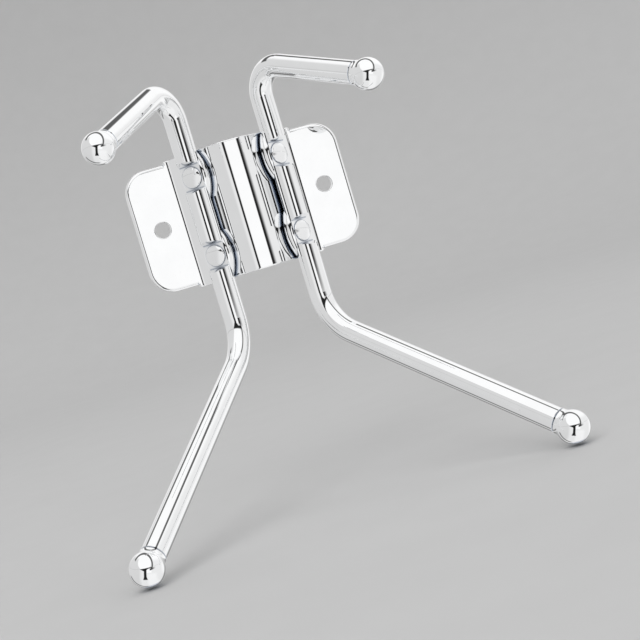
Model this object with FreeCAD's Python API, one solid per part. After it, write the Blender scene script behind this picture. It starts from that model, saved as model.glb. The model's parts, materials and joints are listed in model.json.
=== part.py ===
import FreeCAD, Part
import math
import os

from FreeCAD import Placement, Rotation, Vector

# Wall bracket with two bent, ball-ended rods riveted to a folded steel plate.
# Frame: the wall is the plane y = 0, the bracket stands out of it towards -Y, +Z is up and
# +X is to the right of a person who faces the wall. The origin is on the wall, midway
# between the two screw holes. Lengths are millimetres and angles are degrees.

# ---- plate: two flat flanges, two sloping faces and a narrow crown, all of one sheet ----
SHEET = 2.0                 # thickness of the sheet
PLATE_WIDTH = 78.2
FLANGE_HEIGHT = 44.0
RIDGE_HEIGHT = 45.9         # the ridge is cut a little taller than the flanges
FLANGE_CORNER = 8.4         # corner radius of a flange
STEP_OUT = 1.8              # how far the taller ridge reaches past the foot of its slope
STEP_RADIUS = 0.8           # rounding of that step
RIDGE_FOOT = 21.5           # centre line to the foot of a sloping face, on the front
CROWN_HALF = 3.4            # half width of the crown, on the front
SLOPE = 37.3                # tilt of a sloping face out of the wall
CROWN_BEND = 4.5            # outside radius of the two crown bends
FOOT_BEND = 2.2             # inside radius of the two foot bends
RIDGE_EDGE = 0.5            # rounding of the ridge's front rim
FLANGE_EDGE = 1.2           # rounding of a flange's front rim
SCREW_PITCH = 60.0          # distance between the two screw holes
SCREW_HOLE = 5.6            # their diameter
HOLE_LIP = 0.3              # rounding of a screw hole's front rim

# ---- rods: one length of round bar each, bent in the plane square to its sloping face ----
ROD = 8.0                   # diameter
ROD_SEAT = 10.6             # foot of the slope to the rod's line, along the slope
ROD_LIFT = 0.2              # air under the round stretches, between the pressed pads
UPPER_CORNER = 46.4         # centre to where the straight lines of body and upper arm meet
UPPER_ARM = 51.3            # that corner to the centre of the ball tip
UPPER_DROOP = 21.9          # fall of the upper arm below the slope's normal
UPPER_BEND = 8.5            # centre line radius of the upper bend
LOWER_CORNER = 47.3
LOWER_ARM = 98.4
LOWER_DROOP = 29.8
LOWER_BEND = 18.4

# ---- pads: where the rod is pressed flat for a rivet ----
PAD_HEIGHT = 14.0           # centre of the plate to a pad's centre
PAD_THICKNESS = 4.4
PAD_WIDTH = 10.8            # widest place of the squeezed metal
PAD_SPREAD = 16.0           # length over which the sides bulge
PAD_NECK = 6.6              # width of the bulge where it runs back into the rod
PAD_FLAT = 8.4              # length of the flat face
PAD_RUNOUT = 1.3            # length of each slanted end of the press mark
PAD_SIDE = 2.1              # rounding of the bulging sides

# ---- rivets ----
RIVET_SHANK = 4.0           # diameter
RIVET_HEAD = 7.4            # diameter of the front head
RIVET_RIM = 0.5             # height of its side
RIVET_DOME = 0.8            # rise of its dome above the side
RIVET_SHOULDER = 0.35       # rounding between side and dome
RIVET_TAIL = 6.0            # diameter of the formed tail behind the sheet
RIVET_TAIL_HEIGHT = 1.2
RIVET_PLAY = 0.05           # gap round the shank

# ---- ball tips ----
BALL = 10.7                 # diameter
NECK = 8.3                  # diameter of the short neck, a hair over the rod's
NECK_FILLET = 3.0           # hollow between neck and ball
NECK_LENGTH = 0.7           # straight part of the neck
SPIGOT = 5.4                # diameter of the rod end inside the ball
SPIGOT_PAST_CENTRE = 1.2
BORE_CLEARANCE = 0.3        # air past the end of the spigot
SEAM = 0.35                 # chamfer each side of the joint between rod and tip

RIDGE_RISE = (RIDGE_FOOT - CROWN_HALF) * math.tan(math.radians(SLOPE))
ROD_AXIS = ROD / 2 + ROD_LIFT
PAST_FOLD = RIDGE_FOOT + 2 * SHEET      # beyond this distance from the centre line all is flat
TINY = 1e-4                             # closer than this is the same place

# Sloping-face frame of the right side: X runs up the slope from its foot, Y stands out of
# the face and Z is up. The left side is the mirror image.
SLOPE_FRAME = Placement(Vector(RIDGE_FOOT, -SHEET, 0), Rotation(Vector(0, 0, 1), 180 + SLOPE))


def in_place(shape):
    """The shape moved out of the sloping-face frame into the bracket's frame."""
    moved = shape.copy()
    moved.Placement = SLOPE_FRAME.multiply(shape.Placement)
    return moved


def mirrored(shape):
    """The same piece on the left side."""
    return shape.mirror(Vector(0, 0, 0), Vector(1, 0, 0))


def prism(points, along):
    """A solid whose outline is the closed polygon through the points."""
    return Part.Face(Part.makePolygon(points + points[:1])).extrude(along)


def cylinder_along_y(diameter, y_from, y_to, x, z):
    """A cylinder with its axis along Y."""
    return Part.makeCylinder(diameter / 2, y_to - y_from, Vector(x, y_from, z), Vector(0, 1, 0))


def edges_where(shape, test):
    """The edges of a shape that pass a test."""
    return [edge for edge in shape.Edges if test(edge)]


def middle(edge):
    """The point half way along an edge."""
    return edge.valueAt((edge.FirstParameter + edge.LastParameter) / 2)


def is_upright(edge):
    """True for a straight edge that runs along Z."""
    start, end = edge.Vertexes[0].Point, edge.Vertexes[-1].Point
    return abs(start.x - end.x) < TINY and abs(start.y - end.y) < TINY


def is_circular(edge):
    """True for a circle or a part of one."""
    return not edge.Degenerated and edge.Curve.TypeId == "Part::GeomCircle"


# ---------------------------------------------------------------- the plate

def folded_section():
    """The bent sheet as one long strip, before its outline is cut."""
    half = PLATE_WIDTH / 2
    setback = SHEET * math.tan(math.radians(SLOPE / 2))
    front = [(half, -SHEET), (RIDGE_FOOT, -SHEET), (CROWN_HALF, -SHEET - RIDGE_RISE)]
    back = [(CROWN_HALF - setback, -RIDGE_RISE), (RIDGE_FOOT - setback, 0), (half, 0)]
    outline = front + [(-x, y) for x, y in front[::-1]]
    outline += [(-x, y) for x, y in back[::-1]] + back
    strip = prism([Vector(x, y, -RIDGE_HEIGHT) for x, y in outline], Vector(0, 0, 2 * RIDGE_HEIGHT))

    def bend_edges(x, y):
        return edges_where(
            strip,
            lambda edge: is_upright(edge)
            and abs(abs(edge.Vertexes[0].X) - x) < TINY
            and abs(edge.Vertexes[0].Y - y) < TINY,
        )

    bends = (
        (front[2], CROWN_BEND),
        (back[0], CROWN_BEND - SHEET),
        (front[1], FOOT_BEND),
        (back[1], FOOT_BEND + SHEET),
    )
    for (x, y), radius in bends:
        strip = strip.makeFillet(radius, bend_edges(x, y))
    return strip


def slab(half_width, height):
    """A block with the given front outline that reaches through the whole depth of the ridge."""
    low = -RIDGE_RISE - 3 * SHEET
    depth = Vector(0, RIDGE_RISE + 4 * SHEET, 0)
    signs = [(1, 1), (-1, 1), (-1, -1), (1, -1)]
    return prism([Vector(sx * half_width, low, sz * height / 2) for sx, sz in signs], depth)


def corner_edges(block, half_width, height):
    """The edges of a slab that run through its depth at its four corners."""
    return edges_where(
        block,
        lambda edge: abs(abs(middle(edge).x) - half_width) < TINY
        and abs(abs(middle(edge).z) - height / 2) < TINY,
    )


def outline_blank():
    """The plate's front outline: rounded flanges, and a ridge that steps out past them."""
    half = PLATE_WIDTH / 2
    flanges = slab(half, FLANGE_HEIGHT)
    flanges = flanges.makeFillet(FLANGE_CORNER, corner_edges(flanges, half, FLANGE_HEIGHT))
    ridge_half = RIDGE_FOOT + STEP_OUT
    blank = flanges.fuse(slab(ridge_half, RIDGE_HEIGHT)).removeSplitter()
    return blank.makeFillet(STEP_RADIUS, corner_edges(blank, ridge_half, RIDGE_HEIGHT))


def front_depth(x):
    """How far the front surface stands off the wall at a distance from the centre line."""
    climb = RIDGE_FOOT - min(max(abs(x), CROWN_HALF), RIDGE_FOOT)
    return SHEET + climb * math.tan(math.radians(SLOPE))


def rounded_rim(sheet):
    """The trimmed sheet with its front rim lightly rounded; the ridge keeps this rounding."""

    def on_rim(edge):
        point = middle(edge)
        outer = abs(point.z) > FLANGE_HEIGHT / 2 - FLANGE_CORNER or abs(point.x) > PAST_FOLD
        on_front = abs(-point.y - front_depth(point.x)) < SHEET / 4
        return outer and on_front

    def along_sheet(edge):
        """False for the short edges that cross the sheet's thickness."""
        ends = edge.Vertexes[0], edge.Vertexes[-1]
        return edge.Length > 2 * SHEET or abs(ends[0].Y - ends[1].Y) < SHEET / 4

    def is_fold(edge):
        return is_upright(edge) and abs(middle(edge).x) < PAST_FOLD

    rim = edges_where(sheet, lambda edge: on_rim(edge) and along_sheet(edge) and not is_fold(edge))
    return sheet.makeFillet(RIDGE_EDGE, rim)


def flange():
    """The right flange, from the ridge's step outward, with its front rim well rounded."""
    half = PLATE_WIDTH / 2
    inner = RIDGE_FOOT + STEP_OUT
    low = Vector(inner, -SHEET, -FLANGE_HEIGHT / 2)
    block = Part.makeBox(half - inner, SHEET, FLANGE_HEIGHT, low)
    block = block.makeFillet(FLANGE_CORNER, corner_edges(block, half, FLANGE_HEIGHT))
    rim = edges_where(
        block,
        lambda edge: abs(middle(edge).y + SHEET) < TINY and middle(edge).x > inner + TINY,
    )
    return block.makeFillet(FLANGE_EDGE, rim)


def with_screw_hole(plate, side):
    """The plate with one screw hole, its front rim rounded."""
    centre = Vector(side * SCREW_PITCH / 2, -SHEET, 0)
    plate = plate.cut(cylinder_along_y(SCREW_HOLE, -2 * SHEET, SHEET, centre.x, centre.z))
    rim = edges_where(
        plate,
        lambda edge: is_circular(edge) and edge.Curve.Center.isEqual(centre, TINY),
    )
    return plate.makeFillet(HOLE_LIP, rim)


def rivet_hole(level):
    """The round hole for one rivet, right through pad and sheet, in the sloping-face frame."""
    return cylinder_along_y(RIVET_SHANK + 2 * RIVET_PLAY, -2 * SHEET, ROD, ROD_SEAT, level)


def back_plate():
    """The folded plate with its screw holes and rivet holes."""
    sheet = rounded_rim(folded_section().common(outline_blank()).removeSplitter())
    ridge = sheet.common(slab(RIDGE_FOOT + STEP_OUT, RIDGE_HEIGHT))
    plate = ridge.fuse([flange(), mirrored(flange())]).removeSplitter()
    for side in (-1, 1):
        plate = with_screw_hole(plate, side)
    for level in (-PAD_HEIGHT, PAD_HEIGHT):
        hole = in_place(rivet_hole(level))
        plate = plate.cut(hole).cut(mirrored(hole))
    return plate


# ---------------------------------------------------------------- the rods

def arm(end):
    """Corner, direction, length and bend radius of the upper or the lower arm."""
    upper = end == "upper"
    corner = Vector(ROD_SEAT, ROD_AXIS, UPPER_CORNER if upper else -LOWER_CORNER)
    droop = math.radians(UPPER_DROOP if upper else LOWER_DROOP)
    direction = Vector(0, math.cos(droop), -math.sin(droop))
    length = UPPER_ARM if upper else LOWER_ARM
    radius = UPPER_BEND if upper else LOWER_BEND
    return corner, direction, length, radius


def bend_points(corner, along_body, along_arm, radius):
    """Start, middle and end of the arc that rounds the corner between body and arm."""
    turn = math.acos(max(-1.0, min(1.0, along_body.dot(along_arm))))
    setback = radius * math.tan(turn / 2)
    start = corner - along_body * setback
    end = corner + along_arm * setback
    inward = (along_arm - along_body).normalize()
    centre = corner + inward * (radius / math.cos(turn / 2))
    return start, centre - inward * radius, end


def rod_bar():
    """The round bar with its two bends and a reduced spigot at each end."""
    ends = {}
    neck_end = neck_start_distance()
    for end, along_body in (("upper", Vector(0, 0, 1)), ("lower", Vector(0, 0, -1))):
        corner, along_arm, length, radius = arm(end)
        start, halfway, stop = bend_points(corner, along_body, along_arm, radius)
        tip = corner + along_arm * (length - neck_end)
        ends[end] = (start, halfway, stop, tip, along_arm)
    upper, lower = ends["upper"], ends["lower"]
    path = [
        Part.makeLine(upper[3], upper[2]),
        Part.Arc(upper[2], upper[1], upper[0]).toShape(),
        Part.makeLine(upper[0], lower[0]),
        Part.Arc(lower[0], lower[1], lower[2]).toShape(),
        Part.makeLine(lower[2], lower[3]),
    ]
    section = Part.Wire(Part.makeCircle(ROD / 2, upper[3], upper[4]))
    bar = Part.Wire(path).makePipeShell([section], True, True)
    tips = (upper[3], lower[3])
    rims = edges_where(
        bar,
        lambda edge: len(edge.Vertexes) == 1
        and min(middle(edge).distanceToPoint(tip) for tip in tips) < ROD,
    )
    bar = bar.makeChamfer(SEAM, rims)
    for _, _, _, tip, along_arm in (upper, lower):
        spigot = Part.makeCylinder(SPIGOT / 2, neck_end + SPIGOT_PAST_CENTRE, tip, along_arm)
        bar = bar.fuse(spigot)
    return bar.removeSplitter()


def press_cut(level):
    """The metal that the press pushes away above a pad's flat face."""
    half = PAD_FLAT / 2
    clear = PAD_WIDTH
    above = ROD + 2 * ROD_LIFT
    top = half + PAD_RUNOUT
    corners = [(PAD_THICKNESS, -half), (PAD_THICKNESS, half), (above, top), (above, -top)]
    points = [Vector(ROD_SEAT - clear, y, level + z) for y, z in corners]
    return prism(points, Vector(2 * clear, 0, 0))


def pad(level):
    """The squeezed metal: a flat lens with rounded sides, seated on the sloping face."""
    end, wide, neck = PAD_SPREAD / 2, PAD_WIDTH / 2, PAD_NECK / 2

    def at(x, z):
        return Vector(ROD_SEAT + x, 0, level + z)

    outline = Part.Wire([
        Part.makeLine(at(-neck, -end), at(neck, -end)),
        Part.Arc(at(neck, -end), at(wide, 0), at(neck, end)).toShape(),
        Part.makeLine(at(neck, end), at(-neck, end)),
        Part.Arc(at(-neck, end), at(-wide, 0), at(-neck, -end)).toShape(),
    ])
    lens = Part.Face(outline).extrude(Vector(0, PAD_THICKNESS, 0))
    sides = edges_where(lens, is_circular)
    return lens.makeFillet(PAD_SIDE, sides)


def rod():
    """One finished rod in the sloping-face frame."""
    body = rod_bar()
    for level in (-PAD_HEIGHT, PAD_HEIGHT):
        body = body.cut(press_cut(level)).fuse(pad(level)).cut(rivet_hole(level))
    return body.removeSplitter()


# ---------------------------------------------------------------- rivets and ball tips

def rivet(level):
    """One rivet: domed head on the pad, shank, and formed tail behind the sheet."""
    shank = RIVET_SHANK / 2
    head = RIVET_HEAD / 2
    tail = RIVET_TAIL / 2
    rim_top = PAD_THICKNESS + RIVET_RIM
    dome_top = rim_top + RIVET_DOME
    tail_end = -SHEET - RIVET_TAIL_HEIGHT
    slant = math.cos(math.radians(45))
    dome_radius = (head ** 2 + RIVET_DOME ** 2) / (2 * RIVET_DOME)
    dome_centre = dome_top - dome_radius
    dome_mid = Vector(head / 2, dome_centre + math.sqrt(dome_radius ** 2 - head ** 2 / 4), 0)
    tail_round = RIVET_TAIL_HEIGHT / 2
    tail_mid = Vector(tail - tail_round * (1 - slant), tail_end + tail_round * (1 - slant), 0)
    profile = Part.Wire([
        Part.makeLine(Vector(0, dome_top, 0), Vector(0, tail_end, 0)),
        Part.makeLine(Vector(0, tail_end, 0), Vector(tail - tail_round, tail_end, 0)),
        Part.Arc(Vector(tail - tail_round, tail_end, 0), tail_mid,
                 Vector(tail, tail_end + tail_round, 0)).toShape(),
        Part.makeLine(Vector(tail, tail_end + tail_round, 0), Vector(tail, -SHEET, 0)),
        Part.makeLine(Vector(tail, -SHEET, 0), Vector(shank, -SHEET, 0)),
        Part.makeLine(Vector(shank, -SHEET, 0), Vector(shank, PAD_THICKNESS, 0)),
        Part.makeLine(Vector(shank, PAD_THICKNESS, 0), Vector(head, PAD_THICKNESS, 0)),
        Part.makeLine(Vector(head, PAD_THICKNESS, 0), Vector(head, rim_top, 0)),
        Part.Arc(Vector(head, rim_top, 0), dome_mid, Vector(0, dome_top, 0)).toShape(),
    ])
    turned = Part.Face(profile).revolve(Vector(0, 0, 0), Vector(0, 1, 0), 360)
    shoulder = edges_where(
        turned,
        lambda edge: is_circular(edge) and abs(edge.Curve.Center.y - rim_top) < TINY
        and edge.Curve.Radius > shank,
    )
    turned = turned.makeFillet(RIVET_SHOULDER, shoulder)
    turned.translate(Vector(ROD_SEAT, 0, level))
    return turned


def fillet_centre():
    """Radius and distance behind the ball's centre of the circle that hollows the neck."""
    radius = NECK / 2 + NECK_FILLET
    return radius, math.sqrt((BALL / 2 + NECK_FILLET) ** 2 - radius ** 2)


def neck_start_distance():
    """Distance from the ball's centre back to where rod and tip meet."""
    return fillet_centre()[1] + NECK_LENGTH


def ball_tip(end):
    """One ball with its short neck, bored for the rod's spigot."""
    ball, neck, bore = BALL / 2, NECK / 2, SPIGOT / 2
    centre_r, centre_d = fillet_centre()
    joint = -neck_start_distance()
    bore_end = SPIGOT_PAST_CENTRE + BORE_CLEARANCE
    touch = Vector(centre_r, 0, -centre_d) * (ball / (ball + NECK_FILLET))
    start = Vector(neck, 0, -centre_d)
    hollow_centre = Vector(centre_r, 0, -centre_d)
    hollow_mid = hollow_centre + ((touch + start) * 0.5 - hollow_centre).normalize() * NECK_FILLET
    ball_mid = (touch.normalize() + Vector(1, 0, 1)).normalize() * ball
    touch = touch.normalize() * ball
    profile = Part.Wire([
        Part.makeLine(Vector(0, 0, bore_end), Vector(bore, 0, bore_end)),
        Part.makeLine(Vector(bore, 0, bore_end), Vector(bore, 0, joint)),
        Part.makeLine(Vector(bore, 0, joint), Vector(neck - SEAM, 0, joint)),
        Part.makeLine(Vector(neck - SEAM, 0, joint), Vector(neck, 0, joint + SEAM)),
        Part.makeLine(Vector(neck, 0, joint + SEAM), start),
        Part.Arc(start, hollow_mid, touch).toShape(),
        Part.Arc(touch, ball_mid, Vector(0, 0, ball)).toShape(),
        Part.makeLine(Vector(0, 0, ball), Vector(0, 0, bore_end)),
    ])
    turned = Part.Face(profile).revolve(Vector(0, 0, 0), Vector(0, 0, 1), 360)
    corner, along_arm, length, _ = arm(end)
    turned.Placement = Placement(corner + along_arm * length, Rotation(Vector(0, 0, 1), along_arm))
    return turned


def pieces():
    """Every piece of the bracket by name, in the bracket's frame."""
    made = {"back_plate": back_plate(), "right_rod": in_place(rod())}
    for end, level in (("upper", PAD_HEIGHT), ("lower", -PAD_HEIGHT)):
        made[end + "_right_rivet"] = in_place(rivet(level))
        made[end + "_right_ball_tip"] = in_place(ball_tip(end))
    for name in [name for name in made if "right" in name]:
        made[name.replace("right", "left")] = mirrored(made[name])
    return made


def write_pieces():
    """One STEP file for each piece."""
    os.makedirs("parts", exist_ok=True)
    for name, shape in pieces().items():
        solids = shape.Solids
        assert len(solids) == 1 and solids[0].isValid(), name
        solids[0].exportStep("parts/" + name + ".step")


write_pieces()
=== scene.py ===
import json
import math

import bpy
from mathutils import Matrix, Vector


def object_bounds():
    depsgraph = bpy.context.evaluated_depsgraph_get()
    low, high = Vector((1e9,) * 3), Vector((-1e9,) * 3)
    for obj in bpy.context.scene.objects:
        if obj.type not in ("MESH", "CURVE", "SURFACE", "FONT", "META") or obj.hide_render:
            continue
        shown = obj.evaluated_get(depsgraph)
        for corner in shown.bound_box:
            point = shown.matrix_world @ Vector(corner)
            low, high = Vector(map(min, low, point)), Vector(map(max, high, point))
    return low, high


# ---- camera: where it stands, as seen from the object ----
CAMERA_AZIMUTH = math.radians(-9.14)    # to the object's left
CAMERA_ELEVATION = math.radians(3.03)
CAMERA_ROLL = math.radians(-16.66)      # the camera is turned on its own axis
CAMERA_LENS = 69.5
SENSOR = 36.0
NEAREST, FARTHEST = 0.01, 20.0
AIM_OFF_CENTRE = Vector((0.0078, 0.0, -0.0166))   # aim point, from the centre of the object's box
AIM_DISTANCE = 0.4017

# ---- the key light ----
KEY_OFFSET = Vector((-0.5, -0.7, 0.9))
KEY_SIZE, KEY_POWER = 0.8, 3.0

# ---- the floor: a flat disc, a curve and a low wall ----
FLOOR_GAP = 0.0005
FLOOR_REACH, CURVE, WALL_TOP = 0.9, 0.8, 0.9
CURVE_STEPS, TURNS = 24, 96
FLOOR_TONES = (0.60, 0.63)
FLOOR_GRAIN = (40.0, 4.0, 0.5)          # scale, detail and roughness of its noise
FLOOR_ROUGHNESS = 0.9

# ---- the plating's haze and relief ----
# A noise is its scale, its detail and its roughness.
HAZE, WAVE, FINE = (140.0, 5.0, 0.6), (60.0, 1.0, 0.5), (2600.0, 3.0, 0.5)
HAZE_SPAN, HAZE_TONES = (0.3, 0.7), (0.97, 1.0)
GLOSS_SPAN, GLOSS_RISE = (0.35, 0.75), 2.0
FINE_SHARE = 0.02                       # fine scratches, next to the soft waviness
RELIEF_STRENGTH, RELIEF_DEPTH = 0.04, 0.0004

# ---- painted shade in the tight gaps of the plating, from closed to open ----
WIDE_SHADE_REACHES = (0.0022, 0.0006)         # wide hollows and fine seams
NARROW_SHADE_REACHES = (0.0013, 0.0006)       # the same near the rivets, so that they stay bright
PAINTED_SHADE_RAYS = 12
PAINTED_SHADE_STOPS = (
    (0.0, (0.02, 0.025, 0.032, 1.0)),
    (0.40, (0.20, 0.235, 0.30, 1.0)),
    (0.62, (0.67, 0.71, 0.77, 1.0)),
    (0.85, (1.0, 1.0, 1.0, 1.0)),
)

# ---- each chrome: tint, roughness, share of painted shade, reach of painted shade ----
FINISHES = {
    "plate_chrome": ((0.93, 0.935, 0.94), 0.02, 1.0, WIDE_SHADE_REACHES),
    "rod_chrome": ((0.93, 0.935, 0.94), 0.02, 0.75, NARROW_SHADE_REACHES),
    "rivet_chrome": ((0.92, 0.925, 0.93), 0.04, 0.5, NARROW_SHADE_REACHES),
    "ball_chrome": ((0.94, 0.945, 0.95), 0.01, 1.0, WIDE_SHADE_REACHES),
}

# ---- the studio's parts, as places on a mirrored ball of radius 1 ----
# An edge is its place and its softness. A stretch is its two ends and their softness.
SOFT = 0.015
LAMP, LAMP_RADIUS = (-0.10, 0.42), 0.37
RING, RING_RADIUS, RING_HALF, RING_STRETCH = (-0.17, 0.285), 0.56, 0.043, 1.10
RING_TILT, RING_SIDE, RING_FOOT = 0.60, (0.02, 0.04), (0.13, 0.02)
RING_SHARE = 0.9                        # how dark the lamp's rim is, next to the camera
CAP_ACROSS, CAP_HALF, CAP_TOP, CAP_TILT, CAP_DEPTH = -0.06, 0.27, 0.15, 0.22, 0.17
WEDGE, WEDGE_DEPTH = (0.0, 0.34, SOFT), 0.055
LEG_ACROSS, LEG_HALF, LEG_HEIGHT = -0.03, 0.068, (-0.48, 0.05, SOFT)
FLARE, FLARE_EDGE = 0.05, (0.40, 0.12)
BAR_SLOPE, BAR_HALF, BAR_SOFT, BAR_START, BAR_END = 0.33, 0.05, 0.02, (0.21, 0.01), (0.42, 0.12)
ARC_RADIUS, ARC_HALF, ARC_TOP, ARC_SIDE, ARC_SHARE = 0.865, 0.026, (-0.40, 0.05), (0.0, 0.10), 0.75

# ---- how bright the studio is ----
BASE_LEVEL, CLIMB = 0.88, 0.05          # at the middle, and more of it toward the top
LEFT_EDGE, LEFT_DROP = (-0.30, 0.10), 0.16
RIGHT_EDGE, RIGHT_GLOW = (0.86, 0.12), 0.2
TABLE_ACROSS, TABLE_EDGE, TABLE_GLOW = (0.08, 0.55, 0.10), (-0.15, 0.10), 0.10
PATCH_ACROSS, PATCH_HEIGHT = (0.05, 0.30, 0.02), (-0.10, 0.09, 0.03)
CEILING = (0.55, 0.1)
LAMP_LEVEL, DARK_LEVEL = 1.06, 0.02
REAR = (0.77, 0.10)                     # the far side of the tent, behind the object
REAR_SPAN, REAR_LEVELS = (-0.5, 0.3), (0.20, 0.95)


def new_object(name, data):
    """A new object in the scene that shows a mesh, a camera or a light."""
    made = bpy.data.objects.new(name, data)
    bpy.context.scene.collection.objects.link(made)
    return made


def camera_axes():
    """Unit vectors to the camera's right, up and back, in the object's frame."""
    flat = math.cos(CAMERA_ELEVATION)
    back = Vector((
        math.sin(CAMERA_AZIMUTH) * flat,
        -math.cos(CAMERA_AZIMUTH) * flat,
        math.sin(CAMERA_ELEVATION),
    ))
    level_right = Vector((0, 0, 1)).cross(back).normalized()
    level_up = back.cross(level_right)
    turn = Matrix.Rotation(CAMERA_ROLL, 3, back)
    return turn @ level_right, turn @ level_up, back


def add_camera(centre):
    """The camera, a little to the object's left and turned on its own axis."""
    data = bpy.data.cameras.new("camera")
    data.lens = CAMERA_LENS
    data.sensor_width = SENSOR
    data.clip_start = NEAREST
    data.clip_end = FARTHEST
    camera = new_object("camera", data)
    right, up, back = camera_axes()
    camera.matrix_world = Matrix((right, up, back)).transposed().to_4x4()
    camera.location = centre + AIM_OFF_CENTRE + back * AIM_DISTANCE
    bpy.context.scene.camera = camera


class Nodes:
    """A short way to add and join nodes in one node tree."""

    def __init__(self, tree):
        self.tree = tree

    def add(self, kind, settings=None, **inputs):
        """
        Adds a node, sets its properties and its inputs, and returns it. An input goes by its
        name, or by an underscore and its number.
        """
        node = self.tree.nodes.new(kind)
        for name, value in (settings or {}).items():
            setattr(node, name, value)
        for name, value in inputs.items():
            key = int(name[1:]) if name[1:].isdigit() else name.replace("_", " ")
            self.feed(node.inputs[key], value)
        return node

    def feed(self, socket, value):
        """Gives a socket a plain value, or links another socket to it."""
        if isinstance(value, bpy.types.NodeSocket):
            self.tree.links.new(value, socket)
        else:
            socket.default_value = value

    def maths(self, operation, *values):
        """One arithmetic step."""
        node = self.add("ShaderNodeMath", {"operation": operation})
        for socket, value in zip(node.inputs, values):
            self.feed(socket, value)
        return node.outputs[0]

    def product(self, first, *others):
        """Several values multiplied together."""
        for other in others:
            first = self.maths("MULTIPLY", first, other)
        return first

    def vector(self, operation, first, second):
        """One step with two vectors, for the operations that give a vector."""
        node = self.add("ShaderNodeVectorMath", {"operation": operation}, _0=first, _1=second)
        return node.outputs[0]

    def noise(self, place, scale, detail, roughness):
        """Fractal noise, from 0 to 1."""
        node = self.add("ShaderNodeTexNoise", Vector=place, Scale=scale, Detail=detail, Roughness=roughness)
        return node.outputs["Fac"]

    def remap(self, value, source, target):
        """Carries a value from one range to another, without leaving the second."""
        node = self.add("ShaderNodeMapRange", Value=value, From_Min=source[0], From_Max=source[1],
                        To_Min=target[0], To_Max=target[1])
        return node.outputs[0]

    def along(self, direction, axis):
        """How far a direction points along a fixed axis, from -1 to 1."""
        node = self.add("ShaderNodeVectorMath", {"operation": "DOT_PRODUCT"}, _0=direction, _1=axis)
        return node.outputs["Value"]

    def rise(self, value, edge, soft):
        """0 below an edge and 1 above it."""
        node = self.add("ShaderNodeMapRange", {"interpolation_type": "SMOOTHSTEP"},
                        Value=value, From_Min=edge - soft, From_Max=edge + soft)
        return node.outputs[0]

    def fade(self, value, edge, soft):
        """1 below an edge and 0 above it."""
        return self.maths("SUBTRACT", 1.0, self.rise(value, edge, soft))

    def band(self, value, low, high, soft):
        """1 between low and high, 0 outside, with soft edges."""
        return self.product(self.rise(value, low, soft), self.fade(value, high, soft))

    def gap(self, value, middle):
        """How far a value is from a middle one, always positive."""
        return self.maths("ABSOLUTE", self.maths("SUBTRACT", value, middle))

    def distance(self, across, height, centre):
        """Distance of a place from a centre."""
        sides = [self.maths("SUBTRACT", value, middle) for value, middle in zip((across, height), centre)]
        squares = [self.product(side, side) for side in sides]
        return self.maths("SQRT", self.maths("ADD", *squares))

    def mix(self, first, second, share):
        """Blends from the first value to the second."""
        change = self.maths("SUBTRACT", second, first)
        return self.maths("ADD", first, self.product(change, share))


def painted_shade_tone(nodes, reaches):
    """The colour of the painted shade: dark blue grey in closed gaps, white in the open."""
    open_shares = [
        nodes.add("ShaderNodeAmbientOcclusion", {"samples": PAINTED_SHADE_RAYS}, Distance=reach).outputs["AO"]
        for reach in reaches
    ]
    # Painted shade: ambient occlusion darkens the colour in gaps and creases.
    shade_ramp = nodes.add("ShaderNodeValToRGB", Fac=nodes.product(*open_shares))
    stops = shade_ramp.color_ramp.elements
    stops[0].position, stops[0].color = PAINTED_SHADE_STOPS[0]
    stops[1].position, stops[1].color = PAINTED_SHADE_STOPS[-1]
    for position, color in PAINTED_SHADE_STOPS[1:-1]:
        stops.new(position).color = color
    return shade_ramp.outputs[0]


def chrome(name, tint, roughness, painted_shade_share, reaches):
    """Bright plating with faint polishing haze, fine scratches, a soft waviness and painted shade in its
    gaps.
    """
    material = bpy.data.materials.new(name)
    material.use_nodes = True
    nodes = Nodes(material.node_tree)
    shader = material.node_tree.nodes["Principled BSDF"]
    place = nodes.add("ShaderNodeTexCoord").outputs["Object"]
    haze = nodes.noise(place, *HAZE)
    fine = nodes.noise(place, *FINE)
    wave = nodes.noise(place, *WAVE)
    tone = nodes.remap(haze, HAZE_SPAN, HAZE_TONES)
    clean = nodes.add("ShaderNodeVectorMath", {"operation": "SCALE"}, _0=tint, Scale=tone).outputs[0]
    # Painted shade: the plating's colour is darkened in gaps and creases, where shade falls.
    painted_shaded = nodes.vector("MULTIPLY", clean, painted_shade_tone(nodes, reaches))
    shade = nodes.add("ShaderNodeMix", {"data_type": "VECTOR"}, Factor=painted_shade_share, _4=clean, _5=painted_shaded)
    gloss = nodes.remap(haze, GLOSS_SPAN, (roughness, roughness * GLOSS_RISE))
    relief = nodes.maths("ADD", wave, nodes.product(fine, FINE_SHARE))
    bump = nodes.add("ShaderNodeBump", Strength=RELIEF_STRENGTH, Distance=RELIEF_DEPTH, Height=relief)
    nodes.feed(shader.inputs["Base Color"], shade.outputs[1])
    nodes.feed(shader.inputs["Metallic"], 1.0)
    nodes.feed(shader.inputs["Roughness"], gloss)
    nodes.feed(shader.inputs["Normal"], bump.outputs[0])
    return material


def lamp_rim(nodes, across, height):
    """The dark rim round the lamp, which ends low on both sides."""
    stretched = nodes.product(across, RING_STRETCH)
    from_ring = nodes.distance(stretched, height, (RING[0] * RING_STRETCH, RING[1]))
    ring = nodes.fade(nodes.gap(from_ring, RING_RADIUS), RING_HALF, SOFT)
    side = nodes.rise(nodes.maths("ADD", nodes.product(across, RING_TILT), height), *RING_SIDE)
    return nodes.product(ring, side, nodes.rise(height, *RING_FOOT), RING_SHARE)


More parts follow.
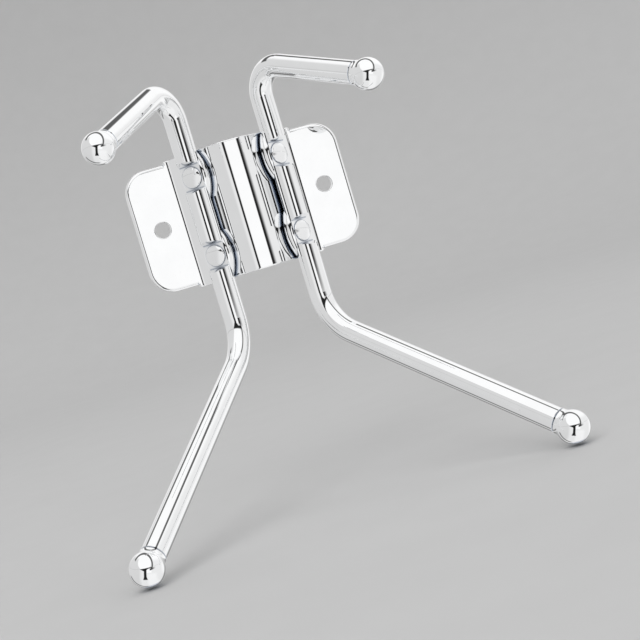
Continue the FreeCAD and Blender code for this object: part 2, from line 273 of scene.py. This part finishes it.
def camera_body(nodes, across, height):
    """The camera: a wide triangle that hangs from a slanted edge, with a wedge on its right."""
    top = nodes.maths("ADD", nodes.product(across, CAP_TILT), CAP_TOP)
    below_top = nodes.maths("SUBTRACT", top, height)
    taper = nodes.product(nodes.gap(across, CAP_ACROSS), CAP_DEPTH / CAP_HALF)
    wedge = nodes.product(nodes.band(across, *WEDGE), WEDGE_DEPTH)
    depth = nodes.maths("MAXIMUM", nodes.maths("SUBTRACT", CAP_DEPTH, taper), wedge)
    above_bottom = nodes.maths("SUBTRACT", depth, below_top)
    return nodes.product(nodes.rise(below_top, 0.0, SOFT), nodes.rise(above_bottom, 0.0, SOFT))


def camera_stand(nodes, across, height):
    """The stand under the camera, which widens at its foot."""
    flare = nodes.product(nodes.rise(nodes.product(height, -1.0), *FLARE_EDGE), FLARE)
    inside = nodes.maths("SUBTRACT", nodes.maths("ADD", flare, LEG_HALF), nodes.gap(across, LEG_ACROSS))
    return nodes.product(nodes.rise(inside, 0.0, SOFT), nodes.band(height, *LEG_HEIGHT))


def side_bar(nodes, across, height):
    """A slanted dark bar to the right of the camera."""
    off_bar = nodes.gap(height, nodes.product(across, BAR_SLOPE))
    bar = nodes.fade(off_bar, BAR_HALF, BAR_SOFT)
    return nodes.product(bar, nodes.rise(across, *BAR_START), nodes.fade(across, *BAR_END))


def table_edge(nodes, across, height):
    """A thin dark arc at the lower left, where the table ends."""
    off_arc = nodes.gap(nodes.distance(across, height, (0.0, 0.0)), ARC_RADIUS)
    arc = nodes.fade(off_arc, ARC_HALF, SOFT)
    return nodes.product(arc, nodes.fade(height, *ARC_TOP), nodes.fade(across, *ARC_SIDE), ARC_SHARE)


def tent_level(nodes, across, height):
    """The brightness of the tent's cloth, its lamp and its bright patches."""
    level = nodes.maths("ADD", nodes.product(height, CLIMB), BASE_LEVEL)
    left = nodes.product(nodes.fade(across, *LEFT_EDGE), LEFT_DROP)
    right = nodes.product(nodes.rise(across, *RIGHT_EDGE), RIGHT_GLOW)
    table = nodes.product(nodes.band(across, *TABLE_ACROSS), nodes.fade(height, *TABLE_EDGE), TABLE_GLOW)
    level = nodes.maths("SUBTRACT", level, left)
    level = nodes.maths("ADD", level, right)
    level = nodes.maths("ADD", level, table)
    lamp = nodes.fade(nodes.distance(across, height, LAMP), LAMP_RADIUS, SOFT)
    patch = nodes.product(nodes.band(across, *PATCH_ACROSS), nodes.band(height, *PATCH_HEIGHT))
    white = nodes.maths("MAXIMUM", lamp, patch)
    white = nodes.maths("MAXIMUM", white, nodes.rise(height, *CEILING))
    return nodes.mix(level, LAMP_LEVEL, white)


def light_tent():
    """
    The studio as a mirrored ball shows it: a white tent with a round lamp above the lens, the
    lamp's dark rim, and the dark camera on its stand. Across and height are places on that ball.
    """
    world = bpy.data.worlds.new("light_tent")
    bpy.context.scene.world = world
    world.use_nodes = True
    nodes = Nodes(world.node_tree)
    right, up, back = camera_axes()
    direction = nodes.add("ShaderNodeTexCoord").outputs["Generated"]
    halfway = nodes.vector("ADD", direction, back)
    halfway = nodes.add("ShaderNodeVectorMath", {"operation": "NORMALIZE"}, _0=halfway).outputs[0]
    across = nodes.along(halfway, right)
    height = nodes.along(halfway, up)

    dark = lamp_rim(nodes, across, height)
    for part in (camera_body, camera_stand, side_bar, table_edge):
        dark = nodes.maths("MAXIMUM", dark, part(nodes, across, height))
    level = nodes.mix(tent_level(nodes, across, height), DARK_LEVEL, dark)
    behind = nodes.rise(nodes.along(direction, -back), *REAR)
    rear = nodes.remap(nodes.along(direction, Vector((0.0, 0.0, 1.0))), REAR_SPAN, REAR_LEVELS)
    level = nodes.mix(level, rear, behind)
    background = world.node_tree.nodes["Background"]
    nodes.feed(background.inputs["Color"], (1.0, 1.0, 1.0, 1.0))
    nodes.feed(background.inputs["Strength"], level)


def floor_material():
    """Pale, dull and faintly grained."""
    material = bpy.data.materials.new("pale_floor")
    material.use_nodes = True
    nodes = Nodes(material.node_tree)
    shader = material.node_tree.nodes["Principled BSDF"]
    place = nodes.add("ShaderNodeTexCoord").outputs["Object"]
    grain = nodes.noise(place, *FLOOR_GRAIN)
    nodes.feed(shader.inputs["Base Color"], nodes.remap(grain, (0.0, 1.0), FLOOR_TONES))
    nodes.feed(shader.inputs["Roughness"], FLOOR_ROUGHNESS)
    return material


def floor_profile():
    """Reach and rise of each ring of the floor, from the middle out."""
    profile = [(FLOOR_REACH / 2, 0.0), (FLOOR_REACH, 0.0)]
    for step in range(1, CURVE_STEPS + 1):
        angle = math.radians(90.0 * step / CURVE_STEPS)
        profile.append((FLOOR_REACH + CURVE * math.sin(angle), CURVE * (1 - math.cos(angle))))
    profile.append((FLOOR_REACH + CURVE, WALL_TOP))
    return profile


def add_floor(middle, level):
    """A pale round floor under the object that curves up into a low wall."""
    profile = floor_profile()
    points = [Vector((middle.x, middle.y, level))]
    for reach, rise in profile:
        for turn in range(TURNS):
            angle = math.tau * turn / TURNS
            points.append(Vector((
                middle.x + reach * math.cos(angle),
                middle.y + reach * math.sin(angle),
                level + rise,
            )))
    faces = [(0, 1 + turn, 1 + (turn + 1) % TURNS) for turn in range(TURNS)]
    for row in range(len(profile) - 1):
        first = 1 + row * TURNS
        for turn in range(TURNS):
            here = first + turn
            there = first + (turn + 1) % TURNS
            faces.append((here, here + TURNS, there + TURNS, there))
    mesh = bpy.data.meshes.new("floor")
    mesh.from_pydata(points, [], faces)
    mesh.materials.append(floor_material())
    for face in mesh.polygons:
        face.use_smooth = True
    floor = new_object("floor", mesh)
    floor.visible_glossy = False


def add_light(name, place, target, size, power):
    """One soft square light that faces a point."""
    data = bpy.data.lights.new(name, "AREA")
    data.shape = "SQUARE"
    data.size = size
    data.energy = power
    light = new_object(name, data)
    light.location = place
    light.rotation_mode = "QUATERNION"
    light.rotation_quaternion = (place - target).to_track_quat("Z", "Y")
    light.visible_glossy = False


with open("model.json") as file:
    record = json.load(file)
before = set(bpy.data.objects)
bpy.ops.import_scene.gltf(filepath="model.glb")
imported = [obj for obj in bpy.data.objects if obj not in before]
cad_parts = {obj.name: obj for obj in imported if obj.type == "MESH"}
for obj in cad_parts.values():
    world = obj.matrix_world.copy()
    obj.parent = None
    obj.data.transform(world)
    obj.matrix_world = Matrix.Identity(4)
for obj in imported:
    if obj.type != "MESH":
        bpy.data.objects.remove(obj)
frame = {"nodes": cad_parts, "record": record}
cad_low, cad_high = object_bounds()
centre = (cad_low + cad_high) / 2

finishes = {name: chrome(name, *finish) for name, finish in FINISHES.items()}
slots = {part["node"]: part["material_slot"] for part in frame["record"]["subparts"]}
for node, shown in frame["nodes"].items():
    shown.data.materials.clear()
    shown.data.materials.append(finishes[slots[node]])

add_floor(centre, cad_low.z - FLOOR_GAP)
light_tent()
add_light("key", centre + KEY_OFFSET, centre, KEY_SIZE, KEY_POWER)
add_camera(centre)
bpy.context.scene.view_settings.view_transform = "Standard"
